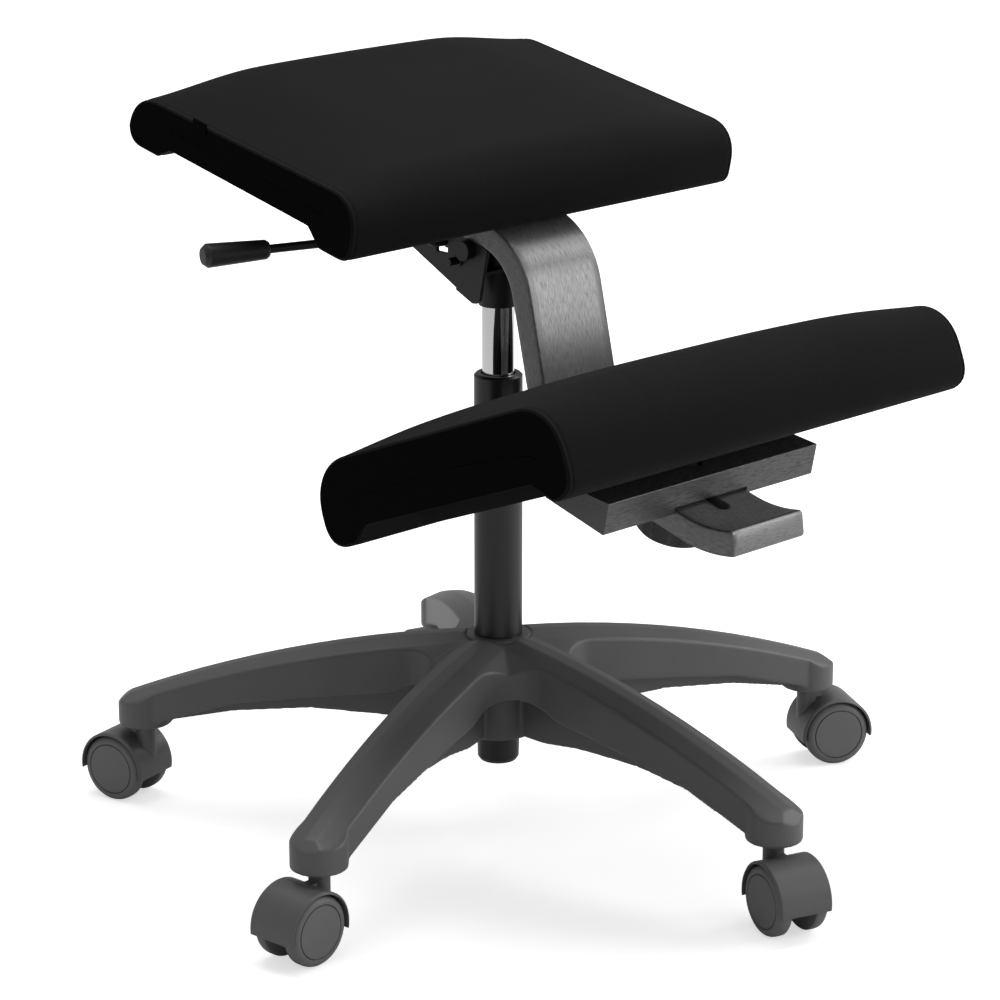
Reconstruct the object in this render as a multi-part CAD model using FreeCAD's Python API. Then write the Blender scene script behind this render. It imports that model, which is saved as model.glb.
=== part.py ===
import FreeCAD, Part
import os
from math import sin, cos, tan, asin, degrees, radians, hypot

# Kneeling chair on a wheeled star base. Millimetres, +Z up. The origin is on the floor under the
# column, the sitter faces -Y and the sitter's left is +X.

V = FreeCAD.Vector
X_AXIS, Y_AXIS, Z_AXIS = V(1, 0, 0), V(0, 1, 0), V(0, 0, 1)

# Seat and knee cushions: width across the chair, slope, and where the flat underside's middle lies
seat_width = 444.0
seat_slope = -11.7          # front edge lower
seat_y, seat_z = 75.0, 591.5
seat_rear, seat_front = 146.0, 140.0
seat_thick = 42.0
seat_crown = 11.0
seat_rim = 11.0
end_round = 7.0             # rounding where the side panels meet the top
seat_hollow_rear, seat_hollow_front = 90.0, 87.0

knee_width = 480.0
knee_slope = 21.5           # front edge higher
knee_y, knee_z = -172.0, 376.0
knee_rear, knee_front = 139.0, 159.5
knee_thick = 61.0
knee_crown = 12.0
knee_rim = 14.0
knee_hollow_rear, knee_hollow_front = 87.0, 115.0

# Bent wooden beam: corners of its upper face before rounding, and its bends
beam_width = 85.0
beam_thick = 22.0
beam_rear_y = 152.0
beam_drop_angle = 76.9      # steep part, measured down from level
beam_foot_y, beam_foot_z = -107.0, 389.0
beam_leg_angle = 15.0       # lower leg falls towards the front
beam_lip_y = -280.0
beam_lip_rise = 7.6         # tip turns up again
beam_tip_y = -311.0
shoulder_radius = 70.0
foot_radius = 66.0
lip_radius = 110.0
edge_round = 1.6            # eased long edges

# Seat board and knee board
seat_board_thick = 18.0
seat_board_width = 330.0
knee_board_thick = 12.0
knee_board_width = 400.0
carrier_width = 248.0
carrier_front_y, carrier_front_z = -254.0, 374.0
carrier_height = 27.0
carrier_ledge_angle = 7.0
groove_depth = 4.3
groove_side_gap = 0.5
beam_notch_half = 62.0
notch_gap = 13.0

# Clamp under the beam
clamp_y = -218.8            # where the clamp bolt crosses the beam's upper face
slot_width = 11.0
slot_front, slot_back = 50.0, 18.0
clamp_bolt_d = 8.0
knob_d, knob_height = 64.0, 22.0
clamp_washer_thick = 2.0

# Gas column
column_d = 42.0
column_top = 410.0
column_bottom = 57.7
column_wall = 2.5
column_taper_top = 172.0
column_taper = 1.44         # half angle of the lower end, degrees
gas_d = 28.0
gas_bottom, gas_top = 190.0, 517.5
gas_bore = 22.0
rod_d = 10.0
slide_gap = 0.05
socket_bottom, socket_top = 470.0, 517.0
socket_wall = 2.7
socket_taper = 1.44

# Seat bracket under the beam
bracket_width = 80.0
bracket_plate = 3.5
bracket_front_y, bracket_rear_y = -21.0, 148.0
bracket_nose_z = 480.0

# Release lever
lever_d = 7.5
lever_z = 536.0
lever_inner_z = 526.0
lever_sweep = 17.4
grip_length = 58.0

# Star base
base_turn = 1.2             # turn of the star in the stored pose
stem_circle = 320.0
roof_points = [(0.0, 178.0), (194.0, 147.0), (330.0, 103.0)]     # radius and height of the arms' ridge
roof_section = [(-60, -31), (-20, -5.2), (-6, 0), (6, 0), (20, -5.2), (60, -31)]
hollow_section = [(-60, -32), (-13, -2.8), (13, -2.8), (60, -32)]
skirt_edge = [(60.0, 135.0), (95.0, 121.0), (173.0, 111.0), (234.0, 102.0), (307.0, 79.0), (400.0, 68.0)]
rib_edge = [(20.0, 86.0), (58.0, 86.0), (98.0, 92.0), (168.0, 95.0), (239.0, 88.0), (302.0, 75.0)]
nose_r, nose_fall = 332.0, 0.85
arm_count = 5
arm_half_tip, arm_half_hub = 20.8, 24.5
arm_skin = 3.5
boss_d = 48.0
boss_bottom = 73.0
hub_r = 31.0
hub_bottom = 84.0
ring_d = 57.0

# Twin-wheel casters
wheel_d = 60.0
wheel_width = 18.6
wheel_inner = 5.4
caster_trail = 23.0
axle_d = 6.0
stem_d = 11.0
neck_d = 18.0
hood_gap = 1.3
hood_wall = 2.3
arm_names = ["front", "left", "rear_left", "rear_right", "right"]
caster_turns = {"front": -18.2, "left": 61.7, "rear_left": 165.0, "rear_right": -166.1, "right": -85.7}

nodes = {}


def cylinder(r, h, at, axis=Z_AXIS):
    return Part.makeCylinder(r, h, at, axis)


def tube(r_out, r_in, h, at, axis=Z_AXIS):
    return cylinder(r_out, h, at, axis).cut(cylinder(r_in, h, at, axis))


def box(x0, x1, y0, y1, z0, z1):
    return Part.makeBox(x1 - x0, y1 - y0, z1 - z0, V(x0, y0, z0))


def fuse(shapes):
    return shapes[0].multiFuse(shapes[1:]).removeSplitter() if len(shapes) > 1 else shapes[0]


def rounded_outline(points, radii, closed=True):
    """Edges of a path whose corners are arcs; points are vectors in one plane."""
    count = len(points)
    corners = []
    for i, p in enumerate(points):
        r = radii[i]
        if not closed and i in (0, count - 1) or r <= 0:
            corners.append((p, p, p))
            continue
        a = (points[i - 1] - p).normalize()
        b = (points[(i + 1) % count] - p).normalize()
        half = a.getAngle(b) / 2
        reach = r / tan(half)
        centre = p + (a + b).normalize() * (r / sin(half))
        middle = centre + (p - centre).normalize() * r
        corners.append((p + a * reach, middle, p + b * reach))
    edges = []
    for i, (start, middle, end) in enumerate(corners):
        if start.distanceToPoint(end) > 1e-6:
            edges.append(Part.Arc(start, middle, end).toShape())
        if i == count - 1 and not closed:
            break
        nxt = corners[(i + 1) % count][0]
        if end.distanceToPoint(nxt) > 1e-6:
            edges.append(Part.makeLine(end, nxt))
    return edges


def plate(points, radii, x0, x1):
    """Closed outline given as (y, z) corners, made solid from x0 to x1."""
    edges = rounded_outline([V(x0, y, z) for y, z in points], radii)
    return Part.Face(Part.Wire(edges)).extrude(V(x1 - x0, 0, 0))


def revolve(profile, at=V(0, 0, 0), axis=Z_AXIS):
    """Solid of revolution from (radius, height) corners around an axis through at."""
    wire = Part.makePolygon([V(r, 0, h) for r, h in profile + profile[:1]])
    solid = Part.Face(wire).revolve(V(0, 0, 0), Z_AXIS, 360)
    solid.Placement = FreeCAD.Placement(at, FreeCAD.Rotation(Z_AXIS, axis))
    return solid


def local(origin_y, origin_z, slope):
    """Maps u (towards the front along a slope) and v (square to it) to (y, z)."""
    c, s = cos(radians(slope)), sin(radians(slope))
    return lambda u, v: (origin_y - u * c + v * s, origin_z + u * s + v * c)


def rotate_about_z(shape, angle):
    return shape.rotated(V(0, 0, 0), Z_AXIS, angle)


seat_at = local(seat_y, seat_z, seat_slope)
knee_at = local(knee_y, knee_z, knee_slope)


# Cushions: foam blocks with a crowned top, a hollow underside and turned-down rims. Each is a loft
# of cross-sections that grow from the drawn-in side panels to the crowned middle
def cushion_section(x, inset, lift, at, rear, front, thick, rim, hollow_rear, hollow_front, radii):
    top, low = thick - inset, -rim + inset
    side = thick + lift * 0.35 - inset
    bow = thick + lift * 0.83 - inset
    corners = [(-hollow_rear, 0), (-hollow_rear - rim * 1.4, low), (inset - rear, low), (inset - rear, side),
               (-rear * 0.5, bow), (0, top + lift), (front * 0.5, bow),
               (front - inset, side), (front - inset, low), (hollow_front + rim * 1.4, low), (hollow_front, 0)]
    shrink = (thick + rim - 2 * inset) / (thick + rim)
    points = [V(x, *at(u, v)) for u, v in corners]
    return Part.Wire(rounded_outline(points, [r * shrink for r in radii]))


def cushion(at, width, crown, radii, **shape):
    half = width / 2
    stations = [(half, end_round, 0.0), (half - end_round * 0.3, end_round * 0.3, 0.04),
                (half - end_round, 0.0, 0.08), (half * 0.62, 0.0, 0.62), (half * 0.3, 0.0, 0.92)]
    stations += [(-x, inset, share) for x, inset, share in stations[::-1]]
    sections = [cushion_section(x, inset, crown * share, at, radii=radii, **shape)
                for x, inset, share in stations]
    return Part.makeLoft(sections, True, True)


seat_radii = [4, 5, 14, 30, 0, 0, 0, 26, 11, 5, 4]
knee_radii = [4, 6, 18, 42, 0, 0, 0, 38, 18, 6, 4]
seat_cushion = cushion(seat_at, seat_width, seat_crown, seat_radii, rear=seat_rear, front=seat_front,
                       thick=seat_thick, rim=seat_rim, hollow_rear=seat_hollow_rear, hollow_front=seat_hollow_front)
knee_cushion = cushion(knee_at, knee_width, knee_crown, knee_radii, rear=knee_rear, front=knee_front,
                       thick=knee_thick, rim=knee_rim, hollow_rear=knee_hollow_rear, hollow_front=knee_hollow_front)


# Beam: one bent plank. Its upper face is a chain of straight runs, offset for the lower face
def beam_corners(offset):
    """Corners and radii of a line lying offset above the beam's upper face."""
    slope = tan(radians(seat_slope))
    drop = tan(radians(beam_drop_angle))
    leg = tan(radians(beam_leg_angle))
    lip = tan(radians(beam_lip_rise))
    seat_line_y, seat_line_z = seat_at(0, -seat_board_thick)
    shoulder_y = (seat_line_z - beam_foot_z + seat_line_y * slope + beam_foot_y * drop) / (drop + slope)
    shoulder_z = beam_foot_z + (shoulder_y - beam_foot_y) * drop
    rear = (beam_rear_y, shoulder_z - (beam_rear_y - shoulder_y) * slope)
    lip_z = beam_foot_z + (beam_lip_y - beam_foot_y) * leg
    tip = (beam_tip_y, lip_z - (beam_tip_y - beam_lip_y) * lip)
    line = [rear, (shoulder_y, shoulder_z), (beam_foot_y, beam_foot_z), (beam_lip_y, lip_z), tip]
    normals = []
    for (y0, z0), (y1, z1) in zip(line, line[1:]):
        length = hypot(y1 - y0, z1 - z0)
        normals.append(((z1 - z0) / length, -(y1 - y0) / length))
    moved = []
    for i, (y, z) in enumerate(line):
        a, b = normals[max(i - 1, 0)], normals[min(i, len(normals) - 1)]
        k = offset / (1 + a[0] * b[0] + a[1] * b[1])
        moved.append((y + (a[0] + b[0]) * k, z + (a[1] + b[1]) * k))
    radii = [0, shoulder_radius + offset, foot_radius - offset, lip_radius - offset, 0]
    return moved, radii


def leg_point(along, above):
    """Point on the straight lower leg: along it towards the front from the clamp, and above it."""
    a = radians(beam_leg_angle)
    z = beam_foot_z + (clamp_y - beam_foot_y) * tan(a)
    return V(0, clamp_y - along * cos(a) - above * sin(a), z - along * sin(a) + above * cos(a))


leg_up = V(0, -sin(radians(beam_leg_angle)), cos(radians(beam_leg_angle)))
leg_forward = V(0, -cos(radians(beam_leg_angle)), -sin(radians(beam_leg_angle)))

upper, upper_r = beam_corners(0)
lower, lower_r = beam_corners(-beam_thick)
beam_edges = plate(upper + lower[::-1], upper_r[:-1] + [6, 5] + lower_r[::-1][1:],
                   -beam_width / 2, beam_width / 2)
long_edges = [e for e in beam_edges.Edges if abs(abs(e.CenterOfMass.x) - beam_width / 2) < 0.01
              and e.Length > 12]
beam = beam_edges.makeChamfer(edge_round, long_edges)


def slot_cutter(width, front, back, above, depth):
    """Long hole along the leg, cut square to it."""
    r = width / 2
    ends = [cylinder(r, depth, leg_point(d, above - depth), leg_up) for d in (front - r, r - back)]
    middle = Part.makeBox(width, front + back - width, depth)
    middle.Placement = FreeCAD.Placement(leg_point(r - back, above) - X_AXIS * r,
                                         FreeCAD.Rotation(X_AXIS, leg_forward, leg_up * -1, "XYZ"))
    return fuse(ends + [middle])


beam = beam.cut(slot_cutter(slot_width, slot_front, slot_back, 5, beam_thick + 10))

# Bolts that hold bracket, beam and seat board together, square to the seat's slope
seat_up = V(0, *seat_at(0, 1)) - V(0, *seat_at(0, 0))
bolt_d, bolt_hole = 8.0, 8.6
bolt_x = 25.0


def seat_point(u, v, x=0.0):
    return V(x, *seat_at(u, v))


bolt_u = [-60.0, 10.0]
bolt_places = [(x, u) for u in bolt_u for x in (-bolt_x, bolt_x)]
bracket_top_v = -seat_board_thick - beam_thick
beam = beam.cut(fuse([cylinder(bolt_hole / 2, beam_thick + 4, seat_point(u, bracket_top_v - 2, x), seat_up)
                      for x, u in bolt_places]))
nodes["beam"] = beam

seat_board_points = [seat_at(u, v) for u, v in
                     ((-seat_hollow_rear + 4, -seat_board_thick), (seat_hollow_front - 4, -seat_board_thick),
                      (seat_hollow_front - 4, 0), (-seat_hollow_rear + 4, 0))]
seat_board = plate(seat_board_points, [0] * 4, -seat_board_width / 2, seat_board_width / 2)
corner_edges = [e for e in seat_board.Edges if abs(e.Length - seat_board_thick) < 0.01
                and abs(abs(e.CenterOfMass.x) - seat_board_width / 2) < 0.01]
seat_board = seat_board.makeFillet(25, corner_edges)
tee_r, tee_flange_r, tee_flange, tee_depth = 5.2, 10.0, 1.5, 14.0
tee_nuts = []
for x, u in bolt_places:
    seat_board = seat_board.cut(cylinder(tee_r, seat_board_thick, seat_point(u, -seat_board_thick, x), seat_up))
    seat_board = seat_board.cut(cylinder(tee_flange_r, tee_flange, seat_point(u, -tee_flange, x), seat_up))
    nut = fuse([cylinder(tee_r, tee_depth, seat_point(u, -tee_depth, x), seat_up),
                cylinder(tee_flange_r, tee_flange, seat_point(u, -tee_flange, x), seat_up)])
    tee_nuts.append(nut.cut(cylinder(bolt_d / 2, tee_depth, seat_point(u, -tee_depth, x), seat_up)))
nodes["seat_board"] = seat_board
nodes["seat_tee_nuts"] = Part.makeCompound(tee_nuts)
nodes["seat_cushion"] = seat_cushion

# Seat bracket: folded steel channel with the tapered socket for the gas cylinder
cheek_x = bracket_width / 2


def under_beam(y):
    """Height of the beam's straight lower face under the seat."""
    y0, z0 = seat_at(0, bracket_top_v)
    return z0 - (y - y0) * tan(radians(seat_slope))


cheek = [(bracket_rear_y, under_beam(bracket_rear_y)), (bracket_front_y - 7, under_beam(bracket_front_y - 7) - 1.5),
         (-18.0, bracket_nose_z), (-10.0, bracket_nose_z - 1.2), (10.0, bracket_nose_z + 7.5),
         (10.0, bracket_nose_z + 9.5), (bracket_rear_y, under_beam(bracket_rear_y) - 9.0)]
cheek_r = [0, 3, 4, 4, 0, 0, 4]
bracket_parts = [plate(cheek, cheek_r, s * cheek_x, s * (cheek_x - bracket_plate)) for s in (-1, 1)]
top_plate = [(bracket_rear_y, under_beam(bracket_rear_y)), (bracket_front_y, under_beam(bracket_front_y)),
             (bracket_front_y, under_beam(bracket_front_y) - bracket_plate),
             (bracket_rear_y, under_beam(bracket_rear_y) - bracket_plate)]
bracket_parts.append(plate(top_plate, [0] * 4, -cheek_x, cheek_x))
bridge_z = 503.0
bracket_parts.append(box(-cheek_x + 1, cheek_x - 1, -19, 30, bridge_z, bridge_z + 3))
pivot_x, pivot_y = -24.0, 22.0
ear_half = 8.0
for y in (pivot_y - ear_half - 3, pivot_y + ear_half):
    ear = box(pivot_x - 7, pivot_x + 7, y, y + 3, lever_inner_z - 7, under_beam(y) - 1)
    bracket_parts.append(ear)
boss_at = V(-cheek_x, -6, 524.8)
bracket_parts.append(cylinder(8.5, 9, boss_at, X_AXIS * -1))
bracket = fuse(bracket_parts)
socket_r = gas_d / 2 + socket_wall
socket_height = socket_top - socket_bottom
socket_drop = socket_height * tan(radians(socket_taper))
socket = Part.makeCone(socket_r, socket_r - socket_drop, socket_height, V(0, 0, socket_bottom))
socket_bore = Part.makeCone(gas_d / 2, gas_d / 2 - socket_drop, socket_height, V(0, 0, socket_bottom))
bracket = bracket.cut(socket)
for x, u in bolt_places:
    bracket = bracket.cut(cylinder(bolt_hole / 2, 10, seat_point(u, bracket_top_v - 8, x), seat_up))
pivot_pin_d = 5.0
bracket = bracket.cut(cylinder(pivot_pin_d / 2, 40, V(pivot_x, pivot_y - 20, lever_inner_z), Y_AXIS))
lever_hole_y = pivot_y + (cheek_x + pivot_x) * tan(radians(lever_sweep))
bracket = bracket.cut(box(-cheek_x - 1, -cheek_x + bracket_plate + 1, lever_hole_y - 7, lever_hole_y + 7,
                          lever_inner_z - 9, lever_inner_z + 9))
nodes["seat_bracket"] = bracket
nodes["bracket_socket"] = socket.cut(socket_bore)
stud_at = V(-cheek_x, 7, 513.5)
nodes["bracket_rivet"] = cylinder(3.5, 12, stud_at, X_AXIS * -1).fuse(cylinder(5.5, 2, stud_at, X_AXIS * -1))

head_height, head_across = 5.3, 7.4
bolts = []
for x, u in bolt_places:
    under = bracket_top_v - bracket_plate
    hexagon = [X_AXIS * (head_across * cos(radians(k * 60))) + seat_up.cross(X_AXIS) * (head_across * sin(radians(k * 60)))
               for k in range(7)]
    outline = Part.makePolygon([seat_point(u, under - head_height, x) + corner for corner in hexagon])
    head = Part.Face(outline).extrude(seat_up * head_height)
    bolts.append(head.fuse(cylinder(bolt_d / 2, -under - 2, seat_point(u, under, x), seat_up)))
nodes["seat_bolts"] = Part.makeCompound(bolts)

# Release lever: bent wire with a barrel on its pivot pin, and a tapered grip
sweep = V(-cos(radians(lever_sweep)), sin(radians(lever_sweep)), 0)
lever_start = V(pivot_x, pivot_y, lever_inner_z)
straight = V(pivot_x, pivot_y, lever_z)
route = [V(-1, 1.5, lever_inner_z), V(pivot_x + 8, pivot_y - 3, lever_inner_z), lever_start, lever_start + sweep * 24, straight + sweep * 42,
         straight + sweep * 182]
route_wire = Part.Wire(rounded_outline(route, [0, 8, 10, 14, 14, 0], closed=False))
start_dir = (route[1] - route[0]).normalize()
ring = Part.Wire(Part.makeCircle(lever_d / 2, route[0], start_dir))
lever_rod = Part.Wire(route_wire).makePipeShell([ring], True, False)
lever_rod = lever_rod.fuse(cylinder(6.0, 2 * ear_half - 0.8, lever_start - Y_AXIS * (ear_half - 0.4), Y_AXIS))
lever_rod = lever_rod.fuse(cylinder(6.5, 3.0, V(0, 0, lever_inner_z - lever_d / 2)))
lever_rod = lever_rod.cut(cylinder(pivot_pin_d / 2 + slide_gap, 60, lever_start - Y_AXIS * 30, Y_AXIS))
nodes["lever_rod"] = lever_rod
nodes["lever_pin"] = cylinder(pivot_pin_d / 2, 2 * ear_half + 8, lever_start - Y_AXIS * (ear_half + 4), Y_AXIS)

grip_inner, grip_outer = 8.3, 10.2
grip_start = straight + sweep * 176
lever_grip = revolve([(lever_d / 2, 0), (grip_inner - 1.5, 0), (grip_inner, 2.5), (grip_outer, grip_length - 4),
                      (grip_outer - 3, grip_length), (0, grip_length), (0, 7), (lever_d / 2, 7)], grip_start, sweep)
nodes["lever_grip"] = lever_grip

# Gas column: outer tube with a tapered lower end, guide bush, cylinder, piston rod and bearing
taper_drop = (column_taper_top - column_bottom) * tan(radians(column_taper))
end_r = column_d / 2 - taper_drop
recess = 3.0                # room for the rod's clip below the column's bottom plate
plate_z = column_bottom + recess
floor_z = plate_z + 3.5
bore_r = end_r - column_wall
rod_hole = rod_d / 2 + 1.0
wall_r = column_d / 2 - column_wall
column_tube = revolve([(rod_hole, plate_z), (12.0, plate_z), (12.0, column_bottom), (end_r - 2, column_bottom),
                       (end_r, column_bottom + 3), (column_d / 2, column_taper_top), (column_d / 2, column_top - 2),
                       (column_d / 2 - 2, column_top), (gas_d / 2 + 1.2, column_top),
                       (gas_d / 2 + 1.2, column_top - 3), (wall_r, column_top - 3), (wall_r, column_taper_top),
                       (bore_r, floor_z), (rod_hole, floor_z)])
nodes["column_tube"] = column_tube
bush_top, bush_bottom = column_top - 3.0, 335.0
nodes["guide_bush"] = tube(column_d / 2 - column_wall, gas_d / 2 + slide_gap, bush_top - bush_bottom,
                           V(0, 0, bush_bottom))

gas_profile = [(rod_d / 2 + slide_gap, gas_bottom), (gas_d / 2 - 1, gas_bottom), (gas_d / 2, gas_bottom + 1),
               (gas_d / 2, socket_bottom), (gas_d / 2 - socket_drop, socket_top),
               (gas_d / 2 - socket_drop - 1.5, gas_top), (4.0 + slide_gap, gas_top), (4.0 + slide_gap, gas_top - 14),
               (gas_bore / 2, gas_top - 14), (gas_bore / 2, gas_bottom + 12), (rod_d / 2 + slide_gap, gas_bottom + 12)]
nodes["gas_cylinder"] = revolve(gas_profile)
bearing_height = 7.0
rod_base = floor_z + bearing_height
piston_z = gas_bottom + 95.0
piston_r = gas_bore / 2 - 0.05
rod_neck = rod_d / 2 - 0.6
clip_high = plate_z - 0.1
clip_thick = 1.0
nodes["piston_rod"] = revolve([(0, column_bottom + 0.8), (rod_neck, column_bottom + 0.8),
                               (rod_neck, clip_high - clip_thick), (rod_neck - 1, clip_high - clip_thick),
                               (rod_neck - 1, clip_high), (rod_neck, clip_high), (rod_neck, rod_base), (rod_d / 2, rod_base), (rod_d / 2, piston_z),
                               (piston_r, piston_z), (piston_r, piston_z + 12), (0, piston_z + 12)])
clip = tube(8.0, rod_neck - 1, clip_thick, V(0, 0, clip_high - clip_thick))
nodes["retaining_clip"] = clip.cut(box(-2.6, 2.6, -12, 0, column_bottom, plate_z))
bearing_r = bore_r - 1.5
race = 1.6
ball_r = (bearing_height - 2 * race) / 2
balls = [Part.makeSphere(ball_r, V(10.0 * cos(radians(a)), 10.0 * sin(radians(a)), floor_z + race + ball_r))
         for a in range(0, 360, 60)]
lower_race = tube(bearing_r, rod_d / 2 + 0.5, race, V(0, 0, floor_z))
upper_race = tube(bearing_r, rod_neck, race, V(0, 0, rod_base - race))
nodes["bearing_lower_race"] = lower_race
nodes["bearing_upper_race"] = upper_race
nodes["bearing_balls"] = Part.makeCompound(balls)
valve_stem_r = 4.0
button_top = lever_inner_z - lever_d / 2 - 0.3
nodes["valve_button"] = revolve([(0, gas_top - 20), (valve_stem_r, gas_top - 20), (valve_stem_r, button_top - 0.6),
                                 (valve_stem_r - 0.6, button_top), (0, button_top)])

# Knee pad: cushion on a plywood board, on a wedge-shaped carrier that rides on the beam
notch_line, notch_r = beam_corners(notch_gap)
notch_points = [(200.0, 700.0), (notch_line[1][0] - 30, 700.0), notch_line[1], notch_line[2], notch_line[3],
                (notch_line[3][0], 250.0), (200.0, 250.0)]
notch = plate(notch_points, [0, 0, shoulder_radius + notch_gap - 20, notch_r[2], 0, 0, 0],
              -beam_notch_half, beam_notch_half)
nodes["knee_cushion"] = knee_cushion.cut(notch)

knee_board_points = [knee_at(u, v) for u, v in
                     ((-knee_hollow_rear + 4, -knee_board_thick), (knee_hollow_front - 4, -knee_board_thick),
                      (knee_hollow_front - 4, 0), (-knee_hollow_rear + 4, 0))]
knee_board = plate(knee_board_points, [0] * 4, -knee_board_width / 2, knee_board_width / 2)
corner_edges = [e for e in knee_board.Edges if abs(e.Length - knee_board_thick) < 0.01
                and abs(abs(e.CenterOfMass.x) - knee_board_width / 2) < 0.01]
knee_board = knee_board.makeFillet(30, corner_edges).cut(notch)


def knee_under(y):
    """Height of the knee board's lower face."""
    y0, z0 = knee_at(0, -knee_board_thick)
    return z0 - (y - y0) * tan(radians(knee_slope))


def carrier_under(y):
    """Height of the carrier's lower face, which laps the beam by the groove."""
    p = leg_point(0, -groove_depth)
    return p.z + (y - p.y) * tan(radians(beam_leg_angle))


def ledge(y):
    return carrier_front_z + (y - carrier_front_y) * tan(radians(carrier_ledge_angle))


ledge_rise = tan(radians(carrier_ledge_angle))
knee_fall = tan(radians(knee_slope))
ledge_back = (knee_under(0) - ledge(0)) / (ledge_rise + knee_fall)
leg_rise = tan(radians(beam_leg_angle))
carrier_back = (knee_under(0) - carrier_under(0)) / (leg_rise + knee_fall) - 5.0
carrier_foot_y = carrier_front_y + carrier_height * sin(radians(beam_leg_angle)) * 0.8
carrier_points = [(carrier_foot_y, carrier_under(carrier_foot_y)), (carrier_front_y, carrier_front_z),
                  (ledge_back, ledge(ledge_back)), (carrier_back, knee_under(carrier_back)),
                  (carrier_back, carrier_under(carrier_back))]
carrier = plate(carrier_points, [1, 1, 0, 0, 0], -carrier_width / 2, carrier_width / 2)
groove_half = beam_width / 2 + groove_side_gap
relief = 26.0
groove_face = [leg_point(-120, 0), leg_point(10, 0), leg_point(10 + relief, 2.6), leg_point(120, 2.6),
               leg_point(120, -40), leg_point(-120, -40)]
groove = plate([(p.y, p.z) for p in groove_face], [0] * 6, -groove_half, groove_half)
carrier = carrier.cut(groove)
head_r, head_recess = 11.0, 4.0
bolt_top = 19.5
carrier = carrier.cut(cylinder(clamp_bolt_d / 2, 60, leg_point(0, -30), leg_up))
carrier = carrier.cut(cylinder(head_r + 0.5, 30, leg_point(0, bolt_top - head_recess), leg_up))
knee_board = knee_board.cut(cylinder(head_r + 2, 30, leg_point(0, bolt_top - head_recess), leg_up))

screw_d, screw_head_r, screw_length = 4.5, 4.5, 20.0
knee_screws = []
knee_up = V(0, *knee_at(0, 1)) - V(0, *knee_at(0, 0))
for x in (-100.0, -62.0, 62.0, 100.0):
    y = (ledge_back + carrier_back) / 2 + 4
    top = V(x, y, knee_under(y))
    start = top - knee_up * (screw_length - knee_board_thick + 1)
    bore = cylinder(screw_d / 2, screw_length, start, knee_up)
    sink = cylinder(screw_head_r, 60, start - knee_up * (60 - 2.5), knee_up)
    carrier = carrier.cut(bore).cut(sink)
    knee_board = knee_board.cut(bore)
    knee_screws.append(bore.fuse(cylinder(screw_head_r, 2.5, start, knee_up)))
nodes["knee_carrier"] = carrier
nodes["knee_board"] = knee_board
nodes["knee_screws"] = Part.makeCompound(knee_screws)

# Clamp: mushroom-head bolt, washer and a scalloped knob with a metal thread insert
knob_low = beam_thick + clamp_washer_thick + knob_height
bolt_end = knob_low - 6.0
clamp_bolt = cylinder(clamp_bolt_d / 2, bolt_end + bolt_top - head_recess, leg_point(0, -bolt_end), leg_up)
dome = Part.makeSphere(16.0, leg_point(0, bolt_top - head_recess - 11.5))
dome = dome.common(cylinder(head_r, 10, leg_point(0, bolt_top - head_recess), leg_up))
nodes["clamp_bolt"] = clamp_bolt.fuse(dome)
nodes["clamp_washer"] = tube(15.0, clamp_bolt_d / 2 + 0.2, clamp_washer_thick,
                             leg_point(0, -beam_thick - clamp_washer_thick), leg_up)
insert_r = 8.0
knob = revolve([(0, -knob_low), (knob_d / 2 - 3, -knob_low), (knob_d / 2, 3 - knob_low),
                (knob_d / 2, knob_height - 3 - knob_low), (knob_d / 2 - 3, knob_height - knob_low),
                (0, knob_height - knob_low)])
scallops = [cylinder(9.0, knob_height, V((knob_d / 2 + 6.2) * cos(radians(a)),
                                         (knob_d / 2 + 6.2) * sin(radians(a)), -knob_low))
            for a in range(0, 360, 45)]
knob = knob.cut(fuse(scallops))
knob = knob.cut(cylinder(insert_r, knob_height - 6, V(0, 0, -knob_low + 6)))
leg_frame = FreeCAD.Placement(leg_point(0, 0), FreeCAD.Rotation(X_AXIS, beam_leg_angle))
knob.Placement = leg_frame.multiply(knob.Placement)
nodes["clamp_knob"] = knob
insert = tube(insert_r, clamp_bolt_d / 2 + slide_gap, knob_height - 6, V(0, 0, -knob_low + 6))
insert.Placement = leg_frame.multiply(insert.Placement)
nodes["knob_insert"] = insert

# Star base: five hollow arms with an arched top, skirts, a deep middle rib and a round end
arm_step = 360.0 / arm_count


def star_outline(inset):
    """Plan of the arms; inner corners are rounded into one another."""
    points, radii = [], []
    tip_half, hub_half = arm_half_tip - inset, arm_half_hub - inset
    lean = (hub_half - tip_half) / stem_circle
    half = radians(arm_step / 2)
    inner = hub_half / (sin(half) + lean * cos(half))
    for k in range(arm_count):
        a = radians(k * arm_step - 90)
        along, across = V(cos(a), sin(a), 0), V(-sin(a), cos(a), 0)
        corner = radians(k * arm_step - 90 - arm_step / 2)
        points.append(V(cos(corner), sin(corner), 0) * inner)
        radii.append(34.0)
        for side in (-1, 1):
            points.append(along * stem_circle + across * (side * tip_half))
            radii.append(0)
    return Part.Face(Part.Wire(rounded_outline(points, radii)))


def roof(drop, profile):
    """Space under the arms' tops, lowered by drop: a low-pitched section turned along one long arc."""
    arc = Part.Arc(*[V(0, -r, z - drop) for r, z in roof_points]).toShape().Curve
    centre, top = arc.Center, arc.Radius
    section = Part.makePolygon([centre + V(x, 0, top + z) for x, z in
                                profile + [(60, -150), (-60, -150), profile[0]]])
    start, end = [degrees(asin((centre.y - y) / top)) for y in (20.0, -stem_circle - 40.0)]
    face = Part.Face(section).rotated(centre, X_AXIS, start)
    arch = face.revolve(centre, X_AXIS, end - start)
    return fuse([rotate_about_z(arch, k * arm_step) for k in range(arm_count)])


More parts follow.
